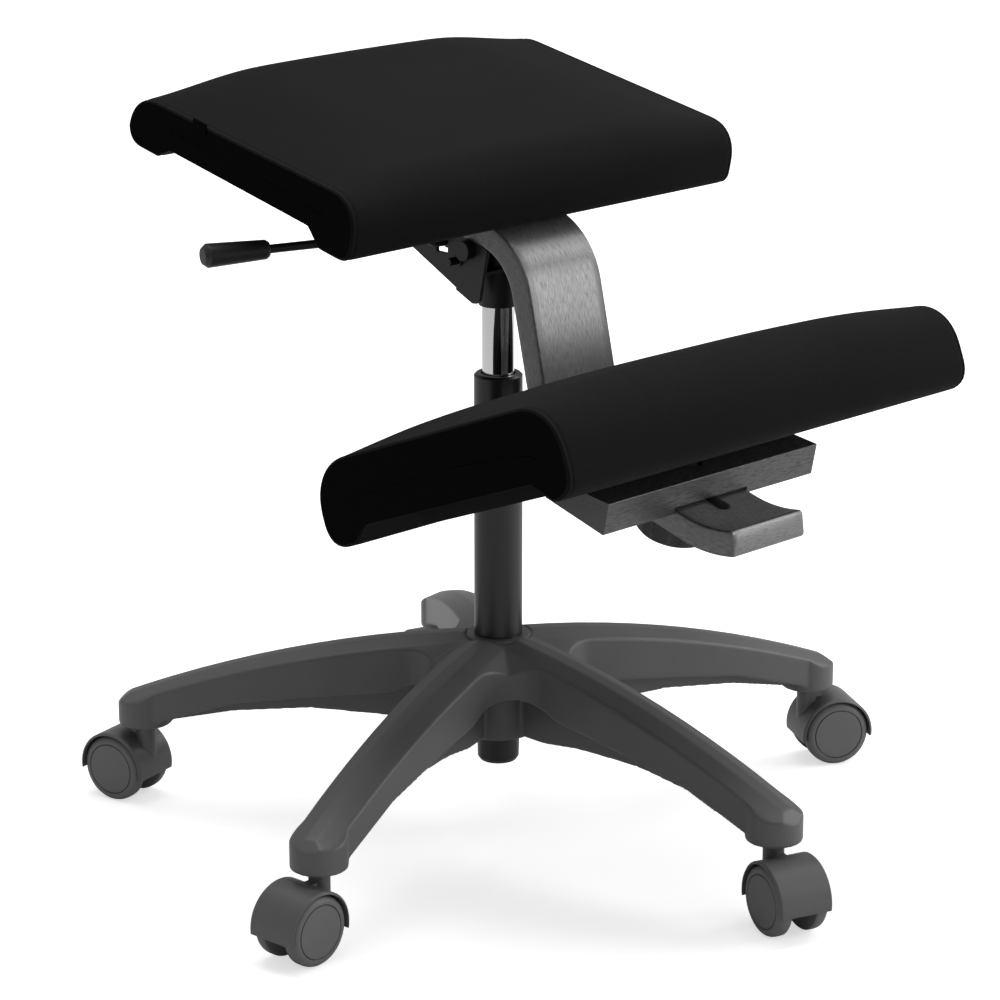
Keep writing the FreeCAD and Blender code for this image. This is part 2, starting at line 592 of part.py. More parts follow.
def end_discs(inset, bottom):
    discs = []
    for k in range(arm_count):
        a = radians(k * arm_step - 90)
        discs.append(cylinder(boss_d / 2 - inset, 200, V(stem_circle * cos(a), stem_circle * sin(a), bottom)))
    return discs


plan = fuse([star_outline(0).extrude(V(0, 0, 200))] + end_discs(0, 0))
hollow = star_outline(arm_skin).extrude(V(0, 0, 200))
outer = plan.common(roof(0, roof_section))
inner = hollow.common(roof(arm_skin, hollow_section))
skirt_low = revolve([(0, 0), (400, 0)] + skirt_edge[::-1] + [(0, skirt_edge[0][1])])
shell = outer.cut(inner).cut(skirt_low)
ribs = []
rib_thick = 5.0
for k in range(arm_count):
    rib = plate([(-r, z) for r, z in rib_edge] + [(-rib_edge[-1][0], 200.0), (-rib_edge[0][0], 200.0)],
                [0] * (len(rib_edge) + 2), -rib_thick / 2, rib_thick / 2)
    cross = [box(-arm_half_hub, arm_half_hub, y - 1.2, y + 1.2, 131 + y / 12, 200) for y in (-135.0, -215.0)]
    ribs += [rotate_about_z(piece, k * arm_step) for piece in [rib] + cross]
rib_body = fuse(ribs).common(plan).common(roof(1.0, hollow_section))
nose = revolve([(0, 0), (400, 0), (400, roof_points[2][1] - nose_fall * (400 - nose_r)),
                (nose_r, roof_points[2][1]), (nose_r, 300), (0, 300)])
bosses = fuse(end_discs(0, boss_bottom)).common(roof(0, roof_section))
hub = cylinder(hub_r, column_taper_top - hub_bottom, V(0, 0, hub_bottom))
star = shell.fuse(rib_body).fuse(bosses).common(nose).fuse(hub)
sleeve_wall = 3.0
sleeve_top = column_taper_top
sleeve_low = hub_bottom + 4.0


def taper_r(z):
    """Outside radius of the column's tapered end at height z."""
    return column_d / 2 - (column_taper_top - z) * tan(radians(column_taper))


sleeve_cut = revolve([(0, hub_bottom - 5), (taper_r(sleeve_low) + sleeve_wall - 1, hub_bottom - 5),
                      (taper_r(sleeve_low) + sleeve_wall - 1, sleeve_low), (taper_r(sleeve_low) + sleeve_wall, sleeve_low),
                      (taper_r(sleeve_top) + sleeve_wall, sleeve_top), (ring_d / 2 + 0.3, sleeve_top),
                      (ring_d / 2 + 0.3, 260), (0, 260)])
star = star.cut(sleeve_cut)
stem_bore_top = boss_bottom + 24.0
for disc in end_discs(boss_d / 2 - stem_d / 2 - slide_gap, boss_bottom - 1):
    star = star.cut(disc.common(box(-500, 500, -500, 500, 0, stem_bore_top)))
nodes["star_base"] = rotate_about_z(star.removeSplitter(), base_turn)
flange = 3.0
nodes["hub_sleeve"] = revolve([(taper_r(sleeve_low), sleeve_low), (taper_r(sleeve_low) + sleeve_wall, sleeve_low),
                               (taper_r(sleeve_top) + sleeve_wall, sleeve_top), (ring_d / 2, sleeve_top),
                               (ring_d / 2, sleeve_top + flange - 1), (ring_d / 2 - 1, sleeve_top + flange),
                               (column_d / 2, sleeve_top + flange), (taper_r(sleeve_top), sleeve_top)])


# Casters: a hood over two wheels on one axle, and a steel stem that turns in the arm's end
def caster_parts():
    axle_z = wheel_d / 2
    at = V(0, -caster_trail, axle_z)
    hood_r_in = wheel_d / 2 + hood_gap
    hood_r = hood_r_in + hood_wall
    half = wheel_inner + wheel_width + 0.4
    barrel = revolve([(0, -half), (hood_r - 1.6, -half), (hood_r, 1.6 - half), (hood_r, half - 1.6),
                      (hood_r - 1.6, half), (0, half)], at, X_AXIS)
    neck_top = boss_bottom - 0.3
    neck = cylinder(neck_d / 2, neck_top - axle_z, V(0, 0, axle_z))
    gusset = box(-5, 5, -caster_trail, 0, axle_z + 10, axle_z + hood_r - 1)
    body = fuse([barrel, neck, gusset])
    web_half = wheel_inner - 0.7
    wheel_room = cylinder(hood_r_in, 60, at - X_AXIS * 30, X_AXIS)
    web = cylinder(hood_r_in, 2 * web_half, at - X_AXIS * web_half, X_AXIS)
    hood = body.cut(wheel_room).fuse(web)
    under = plate([(-80, -20), (20, -20), (20, axle_z - 6), (-caster_trail + 15, axle_z - 6),
                   (-caster_trail + 9, axle_z - 11), (-caster_trail - 9, axle_z - 11),
                   (-caster_trail - 15, axle_z - 4), (-80, axle_z - 4)], [0] * 8, -30, 30)
    hood = hood.cut(under)
    hood = hood.cut(cylinder(axle_d / 2, 60, at - X_AXIS * 30, X_AXIS))
    stem_low = axle_z + 14.0
    hood = hood.cut(cylinder(stem_d / 2 - 1.5, 40, V(0, 0, stem_low)))
    stem = revolve([(0, stem_low), (stem_d / 2 - 1.5, stem_low), (stem_d / 2 - 1.5, neck_top),
                    (stem_d / 2, neck_top), (stem_d / 2, boss_bottom + 20), (stem_d / 2 - 1, boss_bottom + 20.5),
                    (stem_d / 2 - 1, boss_bottom + 22), (0, boss_bottom + 22)])
    axle_half = wheel_inner + wheel_width - 3.0
    axle = cylinder(axle_d / 2, 2 * axle_half, at - X_AXIS * axle_half, X_AXIS)
    r, w = wheel_d / 2, wheel_width
    groove_r = 22.8
    bore = axle_d / 2 + slide_gap
    profile = [(bore, 0), (r, 0), (r, w - 2.6), (r - 2.6, w), (groove_r + 1.0, w), (groove_r, w - 1.6),
               (groove_r - 1.0, w), (0, w), (0, w - 2.5), (bore, w - 2.5)]
    wheels = [revolve(profile, at + X_AXIS * (s * wheel_inner), X_AXIS * s) for s in (-1, 1)]
    return {"stem": stem, "hood": hood, "axle": axle, "wheel_1": wheels[0], "wheel_2": wheels[1]}


caster = caster_parts()
for k, name in enumerate(arm_names):
    angle = k * arm_step + base_turn
    place = V(stem_circle * sin(radians(angle)), -stem_circle * cos(radians(angle)), 0)
    for piece, shape in caster.items():
        turned = rotate_about_z(shape, caster_turns[name])
        nodes["caster_%s_%s" % (name, piece)] = turned.translated(place)

# Small bare fabric tag sewn into the seam on the sitter's right
tag_at = seat_point(-55, seat_thick - 8, -seat_width / 2)
tag = Part.makeBox(1.0, 16.0, 10.0, V(-1.0, -8.0, -5.0))
tag.Placement = FreeCAD.Placement(tag_at, FreeCAD.Rotation(X_AXIS, -seat_slope))
nodes["seat_tag"] = tag

os.makedirs("parts", exist_ok=True)
for name, shape in nodes.items():
    shape.exportStep("parts/%s.step" % name)
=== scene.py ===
import math
import bpy
import bmesh
from mathutils import Matrix, Vector


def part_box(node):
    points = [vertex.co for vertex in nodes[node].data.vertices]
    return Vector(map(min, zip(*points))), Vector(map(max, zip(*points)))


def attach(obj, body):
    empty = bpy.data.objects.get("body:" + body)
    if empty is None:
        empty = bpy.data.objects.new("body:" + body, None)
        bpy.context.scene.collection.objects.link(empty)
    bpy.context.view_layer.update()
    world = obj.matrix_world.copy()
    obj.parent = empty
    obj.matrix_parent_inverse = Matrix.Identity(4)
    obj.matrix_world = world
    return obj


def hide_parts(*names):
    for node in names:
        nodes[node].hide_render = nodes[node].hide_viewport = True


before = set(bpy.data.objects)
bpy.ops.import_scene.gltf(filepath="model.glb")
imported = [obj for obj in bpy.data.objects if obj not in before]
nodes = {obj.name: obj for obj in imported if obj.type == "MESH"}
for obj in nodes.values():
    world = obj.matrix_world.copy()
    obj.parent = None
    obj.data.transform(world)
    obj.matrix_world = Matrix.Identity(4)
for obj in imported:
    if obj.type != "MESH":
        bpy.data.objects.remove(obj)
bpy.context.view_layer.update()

# The set: a pale floor that runs out of sight, an even bright room, and three soft lamps, one
# overhead, one in front and one at the side. The camera stands at the sitter's right front corner.
camera = bpy.data.objects.new("camera", bpy.data.cameras.new("camera"))
bpy.context.scene.collection.objects.link(camera)
camera.location = (-2.0456, -2.1228, 1.1946)
look_at = Vector((0.0, 0.0, 0.2955))
camera.rotation_euler = (look_at - camera.location).to_track_quat("-Z", "Y").to_euler()
camera.data.sensor_width = 36.0
camera.data.lens = 128.16
camera.data.shift_x = 0.0017
bpy.context.scene.camera = camera
bpy.context.scene.view_settings.view_transform = "Standard"


def add(tree, kind, inputs=None, **settings):
    """One node of a material, with the values or links that its sockets take."""
    node = tree.nodes.new(kind)
    for key, value in settings.items():
        setattr(node, key, value)
    for key, value in (inputs or {}).items():
        if isinstance(value, bpy.types.NodeSocket):
            tree.links.new(value, node.inputs[key])
        else:
            node.inputs[key].default_value = value
    return node


def floor_finish():
    floor = bpy.data.materials.new("pale_floor")
    floor.use_nodes = True
    tree = floor.node_tree
    tree.nodes.clear()
    plain = add(tree, "ShaderNodeBsdfDiffuse", {"Color": (0.78, 0.78, 0.78, 1)})
    away = add(tree, "ShaderNodeVectorMath", {0: add(tree, "ShaderNodeTexCoord").outputs["Object"]},
               operation="LENGTH")
    glow = add(tree, "ShaderNodeMapRange", {"Value": away.outputs["Value"], "From Min": 0.8, "From Max": 2.4,
                                            "To Min": 0.62, "To Max": 1.0})
    lift = add(tree, "ShaderNodeEmission", {"Color": (1, 1, 1, 1), "Strength": glow.outputs[0]})
    seen = add(tree, "ShaderNodeAddShader", {0: plain.outputs[0], 1: lift.outputs[0]})
    ray = add(tree, "ShaderNodeLightPath")
    mix = add(tree, "ShaderNodeMixShader", {0: ray.outputs["Is Camera Ray"], 1: plain.outputs[0],
                                            2: seen.outputs[0]})
    add(tree, "ShaderNodeOutputMaterial", {"Surface": mix.outputs[0]})
    return floor


floor_mesh = bpy.data.meshes.new("floor")
floor_mesh.from_pydata([(-9, -9, 0), (9, -9, 0), (9, 9, 0), (-9, 9, 0)], [], [(0, 1, 2, 3)])
floor = bpy.data.objects.new("floor", floor_mesh)
bpy.context.scene.collection.objects.link(floor)
floor_mesh.materials.append(floor_finish())

world = bpy.data.worlds.new("bright_room")
world.use_nodes = True
world_tree = world.node_tree
world_tree.nodes.clear()
room_ray = add(world_tree, "ShaderNodeLightPath")
room_dim = add(world_tree, "ShaderNodeBackground", {"Color": (1, 1, 1, 1), "Strength": 0.35})
room_white = add(world_tree, "ShaderNodeBackground", {"Color": (1, 1, 1, 1), "Strength": 1.0})
room_mix = add(world_tree, "ShaderNodeMixShader", {0: room_ray.outputs["Is Camera Ray"],
                                                   1: room_dim.outputs[0], 2: room_white.outputs[0]})
add(world_tree, "ShaderNodeOutputWorld", {"Surface": room_mix.outputs[0]})
bpy.context.scene.world = world


def soft_lamp(name, place, aim, wide, high, watts):
    lamp = bpy.data.lights.new(name, "AREA")
    lamp.shape = "RECTANGLE"
    lamp.size, lamp.size_y = wide, high
    lamp.energy = watts
    holder = bpy.data.objects.new(name, lamp)
    bpy.context.scene.collection.objects.link(holder)
    holder.location = place
    holder.rotation_euler = (Vector(aim) - Vector(place)).to_track_quat("-Z", "Y").to_euler()


soft_lamp("overhead_lamp", (0.2, 0.3, 3.0), (0, 0, 0.3), 2.2, 2.2, 60)
soft_lamp("front_lamp", (1.85, -2.25, 1.1), (0, 0, 0.5), 1.1, 1.7, 32)
soft_lamp("side_lamp", (2.3, -0.9, 2.0), (0, 0, 0.4), 1.2, 1.2, 20)

# Star base: one moulding in glass-filled nylon, five arms round a hub that grips the gas column.
# The mould has a fine spark-eroded grain, and every edge is broken by about a millimetre.
NYLON_GREY = (0.098, 0.098, 0.100)


def moulded(name, colour, roughness, grain=0.0007, relief=0.00006, edge=0.0012):
    """Injection-moulded plastic: faint cloudiness, a fine grain and softened edges."""
    material = bpy.data.materials.new(name)
    material.use_nodes = True
    tree = material.node_tree
    skin = tree.nodes["Principled BSDF"]
    where = add(tree, "ShaderNodeTexCoord").outputs["Object"]
    clouds = add(tree, "ShaderNodeTexNoise", {"Vector": where, "Scale": 14.0, "Detail": 3.0})
    shade = add(tree, "ShaderNodeMix", {0: clouds.outputs["Fac"], 6: (*[c * 0.9 for c in colour], 1),
                                        7: (*[c * 1.1 for c in colour], 1)}, data_type="RGBA")
    tree.links.new(shade.outputs[2], skin.inputs["Base Color"])
    pits = add(tree, "ShaderNodeTexNoise", {"Vector": where, "Scale": 1.0 / grain, "Detail": 2.0})
    rough = add(tree, "ShaderNodeMapRange", {"Value": pits.outputs["Fac"], "To Min": roughness - 0.06,
                                             "To Max": roughness + 0.08})
    tree.links.new(rough.outputs[0], skin.inputs["Roughness"])
    broken = add(tree, "ShaderNodeBevel", {"Radius": edge}, samples=4)
    bump = add(tree, "ShaderNodeBump", {"Height": pits.outputs["Fac"], "Strength": 0.5, "Distance": relief,
                                        "Normal": broken.outputs[0]})
    tree.links.new(bump.outputs[0], skin.inputs["Normal"])
    skin.inputs["Specular IOR Level"].default_value = 0.45
    return material


def dress(material, *names):
    """Gives CAD nodes that keep their shape their real finish."""
    for name in names:
        slots = nodes[name].data.materials
        slots.clear()
        slots.append(material)


def new_piece(name, mesh, body, slot, *replaced):
    piece = bpy.data.objects.new(name, mesh)
    bpy.context.scene.collection.objects.link(piece)
    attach(piece, body)
    if replaced:
        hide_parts(*replaced)
    return piece


def apply_modifiers(piece):
    """Keeps the piece's shaped mesh and drops the tools that made it."""
    shaped = bpy.data.meshes.new_from_object(piece.evaluated_get(bpy.context.evaluated_depsgraph_get()))
    piece.modifiers.clear()
    piece.data = shaped


def soften(name, node, body, slot, voxel, passes):
    """A moulding with the rounded edges of its real tool, made from a copy of the machined shape."""
    piece = new_piece(name, nodes[node].data.copy(), body, slot, node)
    piece.data.materials.clear()
    grid = piece.modifiers.new("grid", "REMESH")
    grid.mode, grid.voxel_size = "VOXEL", voxel
    ease = piece.modifiers.new("ease", "SMOOTH")
    ease.factor, ease.iterations = 0.5, passes
    thin = piece.modifiers.new("thin", "DECIMATE")
    thin.ratio = 0.35
    apply_modifiers(piece)
    for polygon in piece.data.polygons:
        polygon.use_smooth = True
    return piece


nylon = moulded("nylon_grey", NYLON_GREY, 0.42, edge=0.0012)
star = soften("base_moulding", "star_base", "base", "base_plastic", 0.0013, 6)
star.data.materials.append(nylon)

# Hub sleeve: a thin grey ring, part of a tapered sleeve that centres the column in the hub
dress(moulded("sleeve_grey", (0.075, 0.075, 0.077), 0.38), "hub_sleeve")

# Casters: a nylon hood over two nylon wheels on one steel axle, on a zinc-plated stem that snaps
# into the arm's end. The hood is the base's grey, the wheels a little paler.
caster_grey = moulded("caster_grey", (0.10, 0.10, 0.102), 0.40, edge=0.0009)
wheel_grey = moulded("wheel_grey", (0.125, 0.125, 0.127), 0.46, edge=0.0009)


def plated(name, colour, roughness, draw=900.0):
    """Metal with a fine drawn grain along Z."""
    material = bpy.data.materials.new(name)
    material.use_nodes = True
    tree = material.node_tree
    skin = tree.nodes["Principled BSDF"]
    skin.inputs["Metallic"].default_value = 1.0
    skin.inputs["Base Color"].default_value = (*colour, 1)
    where = add(tree, "ShaderNodeTexCoord").outputs["Object"]
    stretch = add(tree, "ShaderNodeMapping", {"Vector": where, "Scale": (draw, draw, draw * 0.03)})
    lines = add(tree, "ShaderNodeTexNoise", {"Vector": stretch.outputs[0], "Scale": 1.0, "Detail": 3.0})
    rough = add(tree, "ShaderNodeMapRange", {"Value": lines.outputs["Fac"], "To Min": roughness * 0.7,
                                             "To Max": roughness * 1.4})
    tree.links.new(rough.outputs[0], skin.inputs["Roughness"])
    bump = add(tree, "ShaderNodeBump", {"Height": lines.outputs["Fac"], "Strength": 0.15,
                                        "Distance": 0.00002})
    tree.links.new(bump.outputs[0], skin.inputs["Normal"])
    return material


zinc = plated("zinc_plate", (0.62, 0.62, 0.64), 0.3)
# A wheel's outline: distance from the axle, and from the caster's middle plane
WHEEL_OUTLINE = [(0.0, 0.0215), (0.0031, 0.0215), (0.0031, 0.0113), (0.0268, 0.0113), (0.0291, 0.0118),
                 (0.0299, 0.0128), (0.0300, 0.0145), (0.0300, 0.0178), (0.0298, 0.0196), (0.0292, 0.0212),
                 (0.0281, 0.0225), (0.0266, 0.0234), (0.0250, 0.0239), (0.0234, 0.0240), (0.0231, 0.0237),
                 (0.0230, 0.0226), (0.0225, 0.0226), (0.0224, 0.0237), (0.0221, 0.0241), (0.0160, 0.0242),
                 (0.0080, 0.0242), (0.0, 0.0242)]


def turned(name, outline, centre, axis, segments=80):
    """A body of revolution about an axis through the centre; sharp only where its outline turns hard."""
    work = bmesh.new()
    side = axis.cross(Vector((0, 0, 1))).normalized()
    up = side.cross(axis)
    rings = []
    for r, s in outline:
        if r == 0.0:
            rings.append([work.verts.new(centre + axis * s)])
            continue
        rings.append([work.verts.new(centre + axis * s + (side * math.cos(a) + up * math.sin(a)) * r)
                      for a in (2 * math.pi * k / segments for k in range(segments))])
    for a, b in zip(rings, rings[1:]):
        for k in range(segments):
            n = (k + 1) % segments
            corners = [a[0]] if len(a) == 1 else [a[k], a[n]]
            corners += [b[0]] if len(b) == 1 else [b[n], b[k]]
            work.faces.new(corners).smooth = True
    bmesh.ops.recalc_face_normals(work, faces=work.faces)
    for edge in work.edges:
        edge.smooth = edge.calc_face_angle(0.0) < math.radians(38)
    mesh = bpy.data.meshes.new(name)
    work.to_mesh(mesh)
    work.free()
    return mesh


for arm in ("front", "left", "rear_left", "rear_right", "right"):
    dress(caster_grey, "caster_%s_hood" % arm)
    dress(zinc, "caster_%s_stem" % arm, "caster_%s_axle" % arm)
    wheels = ["caster_%s_wheel_%d" % (arm, n) for n in (1, 2)]
    ends = [sum(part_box(wheel), Vector()) / 2 for wheel in wheels]
    middle = (ends[0] + ends[1]) / 2
    for wheel, end in zip(wheels, ends):
        shape = turned(wheel + "_tread", WHEEL_OUTLINE, middle, (end - middle).normalized())
        tread = new_piece(wheel + "_tread", shape, wheel, "caster_plastic", wheel)
        tread.data.materials.append(wheel_grey)

# Gas column: powder-coated steel tube outside, a chromed cylinder that slides in a plastic bush, and
# inside them the piston rod on its ball bearing.


def coated(name, colour, roughness, relief=0.00005):
    """Powder coat on steel: deep colour with a slight orange peel."""
    material = bpy.data.materials.new(name)
    material.use_nodes = True
    tree = material.node_tree
    skin = tree.nodes["Principled BSDF"]
    where = add(tree, "ShaderNodeTexCoord").outputs["Object"]
    peel = add(tree, "ShaderNodeTexNoise", {"Vector": where, "Scale": 420.0, "Detail": 2.0})
    dust = add(tree, "ShaderNodeTexNoise", {"Vector": where, "Scale": 30.0, "Detail": 4.0})
    shade = add(tree, "ShaderNodeMix", {0: dust.outputs["Fac"], 6: (*[c * 0.85 for c in colour], 1),
                                        7: (*[c * 1.15 for c in colour], 1)}, data_type="RGBA")
    tree.links.new(shade.outputs[2], skin.inputs["Base Color"])
    rough = add(tree, "ShaderNodeMapRange", {"Value": dust.outputs["Fac"], "To Min": roughness - 0.04,
                                             "To Max": roughness + 0.06})
    tree.links.new(rough.outputs[0], skin.inputs["Roughness"])
    rounded = add(tree, "ShaderNodeBevel", {"Radius": 0.0006}, samples=4)
    bump = add(tree, "ShaderNodeBump", {"Height": peel.outputs["Fac"], "Strength": 0.4, "Distance": relief,
                                        "Normal": rounded.outputs[0]})
    tree.links.new(bump.outputs[0], skin.inputs["Normal"])
    return material


column_black = coated("column_black", (0.008, 0.008, 0.0083), 0.34)
chrome = plated("chrome", (0.80, 0.80, 0.80), 0.05, draw=500.0)
dress(column_black, "column_tube")
dress(chrome, "gas_cylinder", "piston_rod")
dress(moulded("natural_bush", (0.45, 0.44, 0.41), 0.4), "guide_bush")
dress(zinc, "bearing_balls", "bearing_lower_race", "bearing_upper_race", "retaining_clip")
dress(moulded("valve_red", (0.30, 0.03, 0.02), 0.35), "valve_button")

# Seat bracket: folded steel channel, bolted up through the beam, with a welded tapered socket that
# the gas cylinder presses into, and two ears for the release lever's pin.
bracket_black = coated("bracket_black", (0.008, 0.008, 0.0083), 0.42)
dress(bracket_black, "seat_bracket", "bracket_socket", "bracket_rivet")
dress(zinc, "seat_bolts", "seat_tee_nuts", "lever_pin")

# Release lever: bent black wire in a ribbed barrel on its pin, with a tapered plastic grip
dress(coated("lever_black", (0.012, 0.012, 0.0125), 0.36), "lever_rod")
grip_black = moulded("grip_black", (0.016, 0.016, 0.0165), 0.38, grain=0.0005)
dress(grip_black, "lever_grip")

# Beam: one plank of bent laminated wood, 85 x 22 mm, stained dark grey and lacquered satin. It is
# bolted under the seat, drops behind the knee pad, runs out level and turns up at its tip.
BEAM_WIDTH, BEAM_THICK, BEAM_EDGE, END_ROUND = 0.085, 0.022, 0.0020, 0.0028
BEAM_LINE = [(0.152, 0.58906), (-0.0712, 0.54284), (-0.107, 0.389), (-0.280, 0.34265), (-0.311, 0.34679)]
BEAM_BENDS = [0, 0.070, 0.066, 0.110, 0]
END_STEPS = (0.0020, 0.0012, 0.0006, 0.0002)


def runs(points, radii, closed=True):
    """Straight runs and arcs of an outline with rounded corners: (point at t, length) each."""
    count = len(points)
    bends = []
    for i, corner in enumerate(points):
        p, r = Vector(corner), radii[i]
        if r <= 0 or not closed and i in (0, count - 1):
            bends.append((p, p, None))
            continue
        a = (Vector(points[i - 1]) - p).normalized()
        b = (Vector(points[(i + 1) % count]) - p).normalized()
        half = a.angle(b) / 2
        bends.append((p + a * (r / math.tan(half)), p + b * (r / math.tan(half)),
                      p + (a + b).normalized() * (r / math.sin(half))))
    parts = []
    for i, (start, end, centre) in enumerate(bends):
        if centre is not None:
            s, e = start - centre, end - centre
            turn = s.angle(e)
            parts.append((lambda t, s=s, e=e, c=centre, w=turn:
                          c + (s * math.sin((1 - t) * w) + e * math.sin(t * w)) / math.sin(w),
                          turn * s.length))
        if i < count - 1 or closed:
            after = bends[(i + 1) % count][0]
            if (after - end).length > 1e-7:
                parts.append((lambda t, s=end, e=after: s.lerp(e, t), (after - end).length))
    return parts


def along(parts, counts):
    """Points on the runs, as many on each as counts says, without the last end."""
    return [at(k / n) for (at, _), n in zip(parts, counts) for k in range(n)]


def carve(piece, low_loop, high_loop):
    """Cuts the body between two matching loops of points out of the piece."""
    block = bmesh.new()
    rings = [[block.verts.new(p) for p in loop] for loop in (low_loop, high_loop)]
    count = len(low_loop)
    block.faces.new(rings[0][::-1])
    block.faces.new(rings[1])
    for i in range(count):
        j = (i + 1) % count
        block.faces.new((rings[0][i], rings[0][j], rings[1][j], rings[1][i]))
    bmesh.ops.recalc_face_normals(block, faces=block.faces)
    mesh = bpy.data.meshes.new("cutter")
    block.to_mesh(mesh)
    block.free()
    cutter = bpy.data.objects.new("cutter", mesh)
    bpy.context.scene.collection.objects.link(cutter)
    trim = piece.modifiers.new("trim", "BOOLEAN")
    trim.object, trim.operation, trim.solver = cutter, "DIFFERENCE", "MANIFOLD"
    bpy.context.view_layer.update()
    apply_modifiers(piece)
    bpy.data.objects.remove(cutter)


def beam_mesh():
    """The bent plank: a rounded section moved along its line, and tucked in a little at both ends."""
    spine = runs(BEAM_LINE, BEAM_BENDS, closed=False)
    stations = along(spine, [max(2, round(length / 0.005)) for _, length in spine]) + [Vector(BEAM_LINE[-1])]
    for first, after in ((0, 1), (-1, -2)):
        end, run = stations[first], (stations[after] - stations[first]).normalized()
        cuts = [end + run * d for d in END_STEPS]
        if first == 0:
            stations[1:1] = cuts[::-1]
        else:
            stations[-1:-1] = cuts
    half = BEAM_WIDTH / 2
    ring = runs([(-half, -BEAM_THICK), (half, -BEAM_THICK), (half, 0), (-half, 0)], [BEAM_EDGE] * 4)
    profile = along(ring, [max(4, round(length / 0.006)) for _, length in ring])
    work = bmesh.new()
    grain = work.loops.layers.uv.new("grain")
    rows, travelled = [], [0.0]
    for i, p in enumerate(stations):
        before, after = stations[max(i - 1, 0)], stations[min(i + 1, len(stations) - 1)]
        run = (after - before).normalized()
        up = Vector((run.y, -run.x))
        to_end = min((p - stations[0]).length, (p - stations[-1]).length, END_ROUND)
        tuck = END_ROUND - math.sqrt(END_ROUND ** 2 - (END_ROUND - to_end) ** 2)
        narrow, flat = 1 - 0.3 * tuck / half, 1 - 2 * tuck / BEAM_THICK
        rows.append([work.verts.new((x * narrow, p.x + up.x * (v * flat - tuck),
                                     p.y + up.y * (v * flat - tuck)))
                     for x, v in profile])
        if i:
            travelled.append(travelled[-1] + (p - stations[i - 1]).length)
    count = len(profile)
    for i in range(len(rows) - 1):
        for j in range(count):
            k = (j + 1) % count
            face = work.faces.new((rows[i][j], rows[i + 1][j], rows[i + 1][k], rows[i][k]))
            for loop, (row, col) in zip(face.loops, ((i, j), (i + 1, j), (i + 1, k), (i, k))):
                x, v = profile[col % count]
                side = 0.2 if abs(x) > half - BEAM_EDGE else 0.0 if v > -BEAM_THICK / 2 else 0.4
                loop[grain].uv = (travelled[row], side + (v if side == 0.2 else x))
    for row in (rows[0], rows[-1]):
        face = work.faces.new(row)
        for loop in face.loops:
            loop[grain].uv = (loop.vert.co.x, loop.vert.co.z)
    bmesh.ops.recalc_face_normals(work, faces=work.faces)
    mesh = bpy.data.meshes.new("beam_wood")
    work.to_mesh(mesh)
    work.free()
    return mesh


def stained_wood(name, dark, light, roughness, coordinates="UV", lacquer=0.0, shine=0.7):
    """Open-pored wood under a thin dark stain: pores as short streaks, paler figure between them."""
    material = bpy.data.materials.new(name)
    material.use_nodes = True
    tree = material.node_tree
    skin = tree.nodes["Principled BSDF"]
    where = add(tree, "ShaderNodeTexCoord").outputs[coordinates]
    figure_at = add(tree, "ShaderNodeMapping", {"Vector": where, "Scale": (9.0, 70.0, 70.0)})
    figure = add(tree, "ShaderNodeTexNoise", {"Vector": figure_at.outputs[0], "Scale": 1.0, "Detail": 5.0,
                                              "Distortion": 0.6})
    pore_at = add(tree, "ShaderNodeMapping", {"Vector": where, "Scale": (130.0, 1250.0, 1250.0)})
    pores = add(tree, "ShaderNodeTexNoise", {"Vector": pore_at.outputs[0], "Scale": 1.0, "Detail": 2.0})
    pore_mask = add(tree, "ShaderNodeMapRange", {"Value": pores.outputs["Fac"], "From Min": 0.36,
                                                 "From Max": 0.54})
    tone = add(tree, "ShaderNodeMix", {0: figure.outputs["Fac"], 6: (*dark, 1), 7: (*light, 1)},
               data_type="RGBA")
    filled = add(tree, "ShaderNodeMix", {0: pore_mask.outputs[0], 6: (*[c * 0.55 for c in dark], 1),
                                         7: tone.outputs[2]}, data_type="RGBA")
    tree.links.new(filled.outputs[2], skin.inputs["Base Color"])
    rough = add(tree, "ShaderNodeMapRange", {"Value": pore_mask.outputs[0], "To Min": roughness + 0.2,
                                             "To Max": roughness})
    tree.links.new(rough.outputs[0], skin.inputs["Roughness"])
    bump = add(tree, "ShaderNodeBump", {"Height": pore_mask.outputs[0], "Strength": 0.5, "Distance": 0.00008})
    tree.links.new(bump.outputs[0], skin.inputs["Normal"])
    skin.inputs["Specular IOR Level"].default_value = shine
    skin.inputs["Coat Weight"].default_value = lacquer
    skin.inputs["Coat Roughness"].default_value = 0.26
    return material


beam_stain = stained_wood("grey_stained_wood", (0.060, 0.060, 0.061), (0.110, 0.110, 0.112), 0.30,
                          lacquer=0.8)
beam = new_piece("bent_beam", beam_mesh(), "seat", "beam_wood", "beam")
beam.data.materials.append(beam_stain)
# Slot for the clamp bolt, square to the sloping leg
CLAMP_Y, LEG_SLOPE = -0.2188, math.radians(15.0)
leg_forward = Vector((-math.cos(LEG_SLOPE), -math.sin(LEG_SLOPE)))
leg_up = Vector((-math.sin(LEG_SLOPE), math.cos(LEG_SLOPE)))
clamp_point = Vector((CLAMP_Y, 0.389 + (CLAMP_Y + 0.107) * math.tan(LEG_SLOPE)))
SLOT_HALF, SLOT_FRONT, SLOT_BACK = 0.0055, 0.050, -0.018


def slot_loop(level):
    """Outline of the slot at a level above the leg's top face."""
    points = []
    for end, turn in ((SLOT_FRONT - SLOT_HALF, 0.0), (SLOT_BACK + SLOT_HALF, math.pi)):
        for k in range(13):
            a = turn - math.pi / 2 + math.pi * k / 12
            y, z = clamp_point + leg_forward * (end + SLOT_HALF * math.cos(a)) + leg_up * level
            points.append((SLOT_HALF * math.sin(a), y, z))
    return points


carve(beam, slot_loop(-0.030), slot_loop(0.008))
for polygon in beam.data.polygons:
    polygon.use_smooth = True

